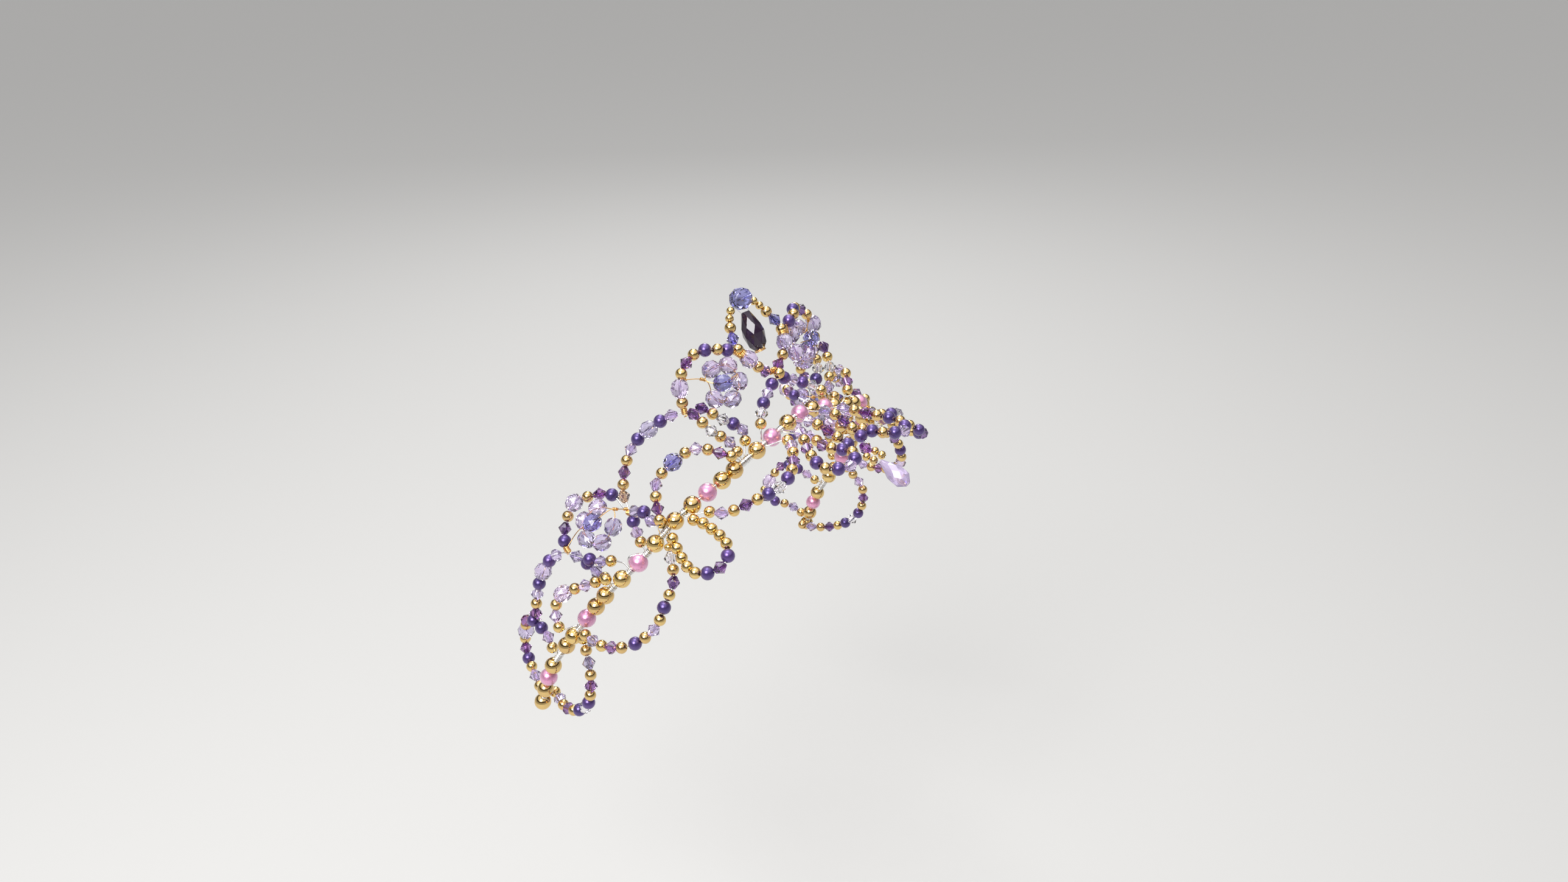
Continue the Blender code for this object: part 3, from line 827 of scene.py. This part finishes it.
def draw_wire(points, thickness):
    """A round wire through points, as a mesh."""
    curve = bpy.data.curves.new("wire", "CURVE")
    curve.dimensions = "3D"
    curve.bevel_depth = thickness / 2 * MM
    curve.bevel_resolution = 1
    curve.use_fill_caps = True
    spline = curve.splines.new("POLY")
    spline.points.add(len(points) - 1)
    for corner, point in zip(spline.points, points):
        corner.co = (*(point * MM), 1)
    wire = bpy.data.objects.new("wire", curve)
    bpy.context.scene.collection.objects.link(wire)
    deselect_all()
    wire.select_set(True)
    bpy.context.view_layer.objects.active = wire
    bpy.ops.object.convert(target="MESH")
    bpy.ops.object.shade_smooth()
    give_tone(wire.data, dice.random())
    return wire


def wire_along(route, step, thickness):
    """A round wire along a whole route."""
    return draw_wire(route.samples(0, route.length, step), thickness)


def wind(route, start, end, width, pitch, thickness=WRAP_WIRE):
    """A wire wound round a stretch of a route, with the small unevenness of work by hand."""
    turns = max(FEWEST_TURNS, (end - start) / pitch)
    steps = round(turns * TURN_POINTS)
    first = dice.uniform(0, FULL_TURN)
    beside = None
    points = []
    for step in range(steps + 1):
        share = step / steps
        centre, along = route.at(start + (end - start) * share)
        beside = along.orthogonal() if beside is None else beside - along * beside.dot(along)
        beside.normalize()
        angle = first + FULL_TURN * turns * share
        uneven = 1 + UNEVEN * math.sin(angle * UNEVEN_RATE + first)
        out = math.cos(angle) * beside + math.sin(angle) * along.cross(beside)
        points.append(centre + out * width / 2 * uneven)
    return draw_wire(points, thickness)


# %% [markdown]
# ## The band
#
# The band is a stiff silver wire with 6 mm gold balls and pink pearls. Its bare stretches are
# wrapped in thinner wire, which keeps the beads apart and holds the feet of the strings. Each
# pearl replaces its own node, and the gold balls and wires share the node of the band.

# %% Build the band
AIR_BY_PEARL = 0.3
BARE_ENOUGH = 0.9
WRAP_WIDTH = 1.5
WRAP_PITCH = 0.46
SPRING_WIDTH = 2.2
CORE_STEP = 1.5


def build_band():
    half = fill(BAND_HALF.split(), PINK_PEARL / 2 + AIR_BY_PEARL, BAND.length / 2, 0)
    middle = BAND.length / 2
    threaded = sorted([(middle - mark, word) for mark, word in half] + [(middle, "pink")]
                      + [(middle + mark, word) for mark, word in half])
    balls = []
    wraps = []
    pearl = 0
    edge = 0.0
    for mark, word in threaded:
        length = LENGTHS[word]
        if mark - length / 2 - edge > BARE_ENOUGH:
            wraps.append(wind(BAND, edge, mark - length / 2, WRAP_WIDTH, WRAP_PITCH))
        edge = mark + length / 2
        centre, along = BAND.at(mark)
        if word == "pink":
            pearl += 1
            name = f"pink_pearl_{pearl:02d}"
            join_piece(f"{name}_ball", [set_bead("pink", centre, along)], "pink_pearl", name)
        elif word == "coil":
            wraps.append(wind(BAND, mark - length / 2, edge, SPRING_WIDTH, WRAP_PITCH))
        else:
            balls.append(set_bead(word, centre, along))
    core = wire_along(BAND, CORE_STEP, BAND_CORE)
    join_piece("band_gold_balls", balls, "gold", "band")
    join_piece("band_core_wire", [core], "silver_wire", "band")
    join_piece("band_wraps", wraps, "silver_wire", "band")
    print(f"Band: {len(balls)} gold balls, {pearl} pink pearls, {len(wraps)} wrapped stretches")


build_band()

# %% [markdown]
# ## The strings
#
# Each string is threaded along its line. Its silver wire runs through all of its beads and on to
# what it is tied to. Copper-coloured wire binds the places where strings meet.

# %% Build the strings of both sides
WIRE_STEP = 1.3
FOOT_LENGTH = 2.0
FOOT_PITCH = 0.7
KNOT_WIDTH = 1.8
BINDING_WIDTH = 2.0


def foot_binding(end, side):
    """Turns round the band where a string is tied to it."""
    mark = BAND.length / 2 + side * end
    half = FOOT_LENGTH / 2
    return wind(BAND, mark - half, mark + half, BINDING_WIDTH, FOOT_PITCH, FOOT_WIRE)


def build_string(name, start, between, end, air, words, side, suffix):
    route = string_route(start, between, end, side)
    node = f"{name}_{suffix}"
    beads = []
    knots = []
    wires = [draw_wire([anchor(start, side), *route.samples(0, route.length, WIRE_STEP),
                        anchor(end, side)], STRING_WIRE)]
    wires += [foot_binding(foot, side) for foot in (start, end) if not isinstance(foot, (tuple, str))]
    for mark, word in thread(route, words, air, side):
        centre, along = route.at(mark)
        if word in THREADED:
            shape, slot = THREADED[word]
            beads.append((slot, set_bead(shape, centre, along)))
        else:
            half = LENGTHS[word] / 2
            knots.append(wind(route, mark - half, mark + half, KNOT_WIDTH, WRAP_PITCH))
    join_by_finish(node, beads, [node])
    join_piece(f"{node}_wire", wires, "silver_wire", node)
    if knots:
        join_piece(f"{node}_knots", knots, "copper_wire", node)
    return len(beads)


threaded_count = 0
for side, suffix in SIDES:
    for row in STRINGS:
        threaded_count += build_string(*row, side, suffix)
print("Beads on the strings:", threaded_count)

# %% [markdown]
# ## The flowers
#
# Five faceted rounds stand in an open ring, and a blue one sits in front of them. One thin wire
# comes from a string, is twisted at the ring's opening, goes through the petals, comes back to
# the twist, and goes through the heart to where it is tied off.

# %% Build the flowers
PETALS = 5
PETAL_RING = 6.2
PETAL_TURN = math.radians(64)
HEART_RISE = 3.7
FLOWER_WIRE = 0.32
FLOWER_WIRE_STEP = 0.7
TWIST_WIDTH = 0.9
TWIST_LENGTH = 2.0

# Name, middle of the petals, the way they face, the way the ring is open, how far the heart is
# moved that way, where the wire comes from, its twist, and its way from the heart to its end
FLOWERS = (
    ("upper_flower", (21.4, 15.5, 18), (0.27, -0.88, 0.38), (1, 0.2, 0.2), 2.2,
     (35.1, 21.8, 22.4), (27.3, 17.8, 20.4), ((17.4, 12.4, 20.6),)),
    ("lower_flower", (60.5, 39.5, -26), (0.8, -0.05, 0.59), (-0.55, -0.4, 0.7), 0.4,
     (55, 30, -19), (56.2, 36.4, -20.6), ((64.2, 45.6, -28.4), (69.5, 47.5, -34.8))),
)


def build_flower(name, centre, facing, outward, heart_out, origin, twist, finish, side):
    middle = place(centre, side)
    normal = place(facing, side).normalized()
    open_way = place(outward, side)
    open_way = (open_way - normal * open_way.dot(normal)).normalized()
    beside = normal.cross(open_way)
    petals = []
    for number in range(PETALS):
        turn = HALF_TURN + PETAL_TURN * (number - PETALS // 2)
        petals.append(middle + PETAL_RING * (math.cos(turn) * open_way + math.sin(turn) * beside))
    heart = middle + HEART_RISE * normal + heart_out * open_way
    knot = place(twist, side)
    route = Route([place(origin, side), knot, *petals, knot, heart, *place_all(finish, side)])
    crystals = []
    for petal in petals:
        point, along = route.at(route.nearest(petal))
        crystals.append(("lilac_crystal", set_bead("faceted_round", point, along)))
    point, along = route.at(route.nearest(heart))
    crystals.append(("blue_crystal", set_bead("faceted_round", point, along)))
    join_by_finish(name, crystals, [name])
    stalk = (knot - place(origin, side)).length
    wires = [
        wire_along(route, FLOWER_WIRE_STEP, FLOWER_WIRE),
        wind(route, 0, TWIST_LENGTH, TWIST_WIDTH, WRAP_PITCH, FLOWER_WIRE),
        wind(route, stalk - TWIST_LENGTH, stalk, TWIST_WIDTH, WRAP_PITCH, FLOWER_WIRE),
    ]
    join_piece(f"{name}_wire", wires, "copper_wire", name)


for side, suffix in SIDES:
    for name, *shape in FLOWERS:
        build_flower(f"{name}_{suffix}", *shape, side)
print("Flowers:", len(FLOWERS) * len(SIDES))

# %% [markdown]
# ## Small ties
#
# Two more places are tied with copper-coloured wire: the loop round each upper flower hangs from
# the peak's string, and a last gold bead hangs in front of the knot in the middle. A silver wire
# also goes over one pearl of the band on each side.

# %% Build the small ties
# From the loop's first pearl round the gold bead of the peak's string
LOOP_TIE = ((14.8, 17, 27), (14.0, 15.9, 25.9), (12.9, 14.9, 24.9), (11.2, 14.6, 24.6), (10.4, 15.9, 25.4))
TIE_STEP = 0.5
TIE_WIDTH = 1.1
TIE_PITCH = 0.6

# Where the loop is bound to the peak's string, and half of that binding's length
JOINT_ON_PEAK = 18.1
JOINT_HALF = 0.7
JOINT_WIDTH = 3.3

# The last bead, its wire on one side, and the knot behind it
MIDDLE_BEAD_AT = (0, 8.6, 15.8)
MIDDLE_BEAD_WAY = (0, -0.5, -1)
MIDDLE_TIE = ((1.6, 11.6, 16.0), (0.6, 10.6, 17.4), (0, 8.6, 15.8), (0.4, 9.3, 13.9), (1.6, 10, 14))
MIDDLE_TURNS = ((-1.7, 11.6, 16), (1.7, 11.6, 16))

# The wire over a pearl: its place along the band, half its span, and how far and which way it rises
ARC_AT = 78.3
ARC_HALF = 4.2
ARC_RISE = 3.6
ARC_WAY = (0.5, 0.64, 0.6)
ARC_WIRE = 0.65
ARC_STEP = 0.6


def tie_loop(side, suffix):
    line = Route(place_all(LOOP_TIE, side))
    peak = next(row for row in STRINGS if row[0] == "peak_string")
    string = string_route(*peak[1:4], side)
    ties = [
        wire_along(line, TIE_STEP, WRAP_WIRE),
        wind(line, 0, line.length, TIE_WIDTH, TIE_PITCH),
        wind(string, JOINT_ON_PEAK - JOINT_HALF, JOINT_ON_PEAK + JOINT_HALF, JOINT_WIDTH, WRAP_PITCH),
        wire_along(Route(place_all(MIDDLE_TIE, side)), TIE_STEP, WRAP_WIRE),
    ]
    join_piece(f"upper_flower_loop_{suffix}_tie", ties, "copper_wire", f"upper_flower_loop_{suffix}")


def arc_over_pearl(side, suffix):
    before, pearl, after = (
        band_point(ARC_AT + ahead, side)[0] for ahead in (-ARC_HALF, 0, ARC_HALF)
    )
    top = pearl + ARC_RISE * place(ARC_WAY, side).normalized()
    arc = wire_along(Route([before, top, after]), ARC_STEP, ARC_WIRE)
    join_piece(f"band_arc_{suffix}", [arc], "silver_wire", "band")


for side, suffix in SIDES:
    tie_loop(side, suffix)
    arc_over_pearl(side, suffix)
last_bead = set_bead("gold", Vector(MIDDLE_BEAD_AT), Vector(MIDDLE_BEAD_WAY).normalized())
join_piece("peak_string_middle_bead", [last_bead], "gold", "peak_string_left")
middle_knot = Route(place_all(MIDDLE_TURNS))
knot_turns = wind(middle_knot, 0, middle_knot.length, KNOT_WIDTH, WRAP_PITCH)
join_piece("peak_string_middle_knot", [knot_turns], "copper_wire", "peak_string_left")
print(f"Middle knot: {middle_knot.length:.1f} mm of turns")

# %% [markdown]
# ## The stones in the middle
#
# The peak carries a large blue crystal. A dark briolette hangs under it by a clear thread, and a
# pale drop with a small violet bead lies over the forehead.

# %% Build the peak's stones
LEFT = Vector((1, 0, 0))
TOP_CRYSTAL_AT = Vector((0, 24.5, 39.4))
BRIOLETTE_TOP = Vector((0, 22.8, 35.1))
BRIOLETTE_FALL = Vector((0, -0.44, -0.9)).normalized()
BRIOLETTE_SPIN = math.radians(124)
THREAD = 0.3
THREAD_FROM = (4.3, 24.4, 37.8)
THREAD_DEPTH = 1.2
HANGING_STEP = 0.6

# The coil at the stone's lower end, and a line long enough to wind it round
COIL_DEPTH = 12.9
COIL_LENGTH = 1.5
COIL_WIDTH = 3.7
STONE_LINE = 20


def build_peak_stones():
    top = set_bead("top_crystal", TOP_CRYSTAL_AT, LEFT)
    join_piece("top_crystal_round", [top], "blue_crystal", "top_crystal")
    briolette = set_bead("briolette", BRIOLETTE_TOP, BRIOLETTE_FALL, BRIOLETTE_SPIN)
    join_piece("peak_briolette_stone", [briolette], "amethyst", "peak_briolette")
    hole = BRIOLETTE_TOP + THREAD_DEPTH * BRIOLETTE_FALL
    hanging = Route([place(THREAD_FROM, -1), hole, place(THREAD_FROM)])
    thread_through = wire_along(hanging, HANGING_STEP, THREAD)
    join_piece("peak_briolette_thread", [thread_through], "thread", "peak_briolette")
    stone_line = Route([BRIOLETTE_TOP, BRIOLETTE_TOP + STONE_LINE * BRIOLETTE_FALL])
    coil = wind(stone_line, COIL_DEPTH, COIL_DEPTH + COIL_LENGTH, COIL_WIDTH, WRAP_PITCH)
    join_piece("peak_briolette_coil", [coil], "copper_wire", "peak_briolette")
    print(f"Briolette: hangs by {hanging.length:.1f} mm of thread")


build_peak_stones()

# %% Build the drop over the forehead
DROP_TOP = Vector((0, -25, -1.6))
DROP_FALL = Vector((0, -0.9, -0.44)).normalized()
DROP_SPIN = math.radians(50)
DROP_BICONE_AT = 2.2
DROP_THREAD_MARKS = (0, 5, 9.6)
DROP_THREAD_STEP = 1


def build_drop():
    small = set_bead("bicone", DROP_TOP + DROP_BICONE_AT * DROP_FALL, DROP_FALL)
    join_piece("forehead_drop_bicone", [small], "violet_crystal", "forehead_drop")
    drop = set_bead("pale_drop", DROP_TOP, DROP_FALL, DROP_SPIN)
    join_piece("forehead_drop_stone", [drop], "milky_lilac", "forehead_drop")
    line = Route([DROP_TOP + mark * DROP_FALL for mark in DROP_THREAD_MARKS])
    short_thread = wire_along(line, DROP_THREAD_STEP, THREAD)
    join_piece("forehead_drop_thread", [short_thread], "thread", "forehead_drop")
    print(f"Drop: hangs by {line.length:.1f} mm of thread")


build_drop()

# %% [markdown]
# ## Stage, light and camera
#
# The tiara is shown as the head would hold it, above a plain pale floor. Polished gold needs
# something dark to reflect, or it looks like paint, so the sky is as pale as the floor where
# they meet, has a dark band above that, and is bright overhead. Three soft lamps stand round it.

# %% Floor
FLOOR_AT = -0.25
FLOOR_SIZE = 14
FLOOR_COLOUR = (0.51, 0.505, 0.495, 1)
FLOOR_ROUGHNESS = 0.8
deselect_all()
bpy.ops.mesh.primitive_plane_add(size=FLOOR_SIZE, location=(0, 0, FLOOR_AT))
floor = bpy.context.object
floor.name = "floor"
floor_finish, floor_shader, floor_tree = start_finish("pale_floor")
floor_shader.inputs["Base Color"].default_value = FLOOR_COLOUR
floor_shader.inputs["Roughness"].default_value = FLOOR_ROUGHNESS
floor.data.materials.append(floor_finish)
floor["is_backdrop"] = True

# %% Sky: pale at the horizon, a dark band, and bright above
# Height of the way one looks, from 0 level to 1 straight up, and the colour there
SKY_LOW = (0.20, (0.37, 0.37, 0.365))
SKY_HIGH = (0.8, (1.0, 1.0, 1.0))
SKY_BETWEEN = ((0.27, (0.03, 0.018, 0.012)), (0.44, (0.03, 0.018, 0.012)), (0.56, (0.50, 0.505, 0.52)))
SKY_STRENGTH = 1.15
world = bpy.data.worlds.new("soft_sky")
bpy.context.scene.world = world
world.use_nodes = True
sky_nodes = world.node_tree.nodes
sky_links = world.node_tree.links
background = sky_nodes["Background"]
looking = sky_nodes.new("ShaderNodeTexCoord")
split = sky_nodes.new("ShaderNodeSeparateXYZ")
ramp = sky_nodes.new("ShaderNodeValToRGB")
stops = ramp.color_ramp.elements
for stop, (position, colour) in zip(stops, (SKY_LOW, SKY_HIGH)):
    stop.position = position
    stop.color = (*colour, 1)
for position, colour in SKY_BETWEEN:
    stops.new(position).color = (*colour, 1)
sky_links.new(looking.outputs["Generated"], split.inputs["Vector"])
sky_links.new(split.outputs["Z"], ramp.inputs["Fac"])
sky_links.new(ramp.outputs["Color"], background.inputs["Color"])
background.inputs["Strength"].default_value = SKY_STRENGTH

# %% Lamps
LAMP_TARGET = Vector((0, 0.02, -0.02))

# Name, place, size and power
LAMPS = (
    ("window", (-0.75, -0.15, 0.75), 0.55, 12),
    ("top", (0.1, 0.2, 1.1), 0.6, 5),
    ("rim", (0.8, 0.7, 0.6), 0.4, 3),
)
for name, spot, size, power in LAMPS:
    lamp = bpy.data.lights.new(name, "AREA")
    lamp.shape = "SQUARE"
    lamp.size = size
    lamp.energy = power
    holder = bpy.data.objects.new(name, lamp)
    holder.location = spot
    holder.rotation_euler = (Vector(spot) - LAMP_TARGET).to_track_quat("Z", "Y").to_euler()
    bpy.context.scene.collection.objects.link(holder)

# %% Camera at the photograph's angle
CAMERA_AT = (-0.3045, -0.2310, 0.1777)
CAMERA_HEADING = -51.97
CAMERA_PITCH = -25.83
CAMERA_ROLL = -1.22
CAMERA_LENS = 28.26
CAMERA_SENSOR = 36.0
lens = bpy.data.cameras.new("camera")
lens.lens = CAMERA_LENS
lens.sensor_width = CAMERA_SENSOR
camera = bpy.data.objects.new("camera", lens)
camera.matrix_world = (
    Matrix.Translation(CAMERA_AT)
    @ Matrix.Rotation(math.radians(CAMERA_HEADING), 4, "Z")
    @ Matrix.Rotation(math.radians(90 + CAMERA_PITCH), 4, "X")
    @ Matrix.Rotation(math.radians(CAMERA_ROLL), 4, "Z")
)
bpy.context.scene.collection.objects.link(camera)
bpy.context.scene.camera = camera
bpy.context.scene.view_settings.view_transform = "Standard"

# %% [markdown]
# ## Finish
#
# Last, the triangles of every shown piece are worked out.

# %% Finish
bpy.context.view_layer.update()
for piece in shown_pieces():
    piece.data.calc_loop_triangles()
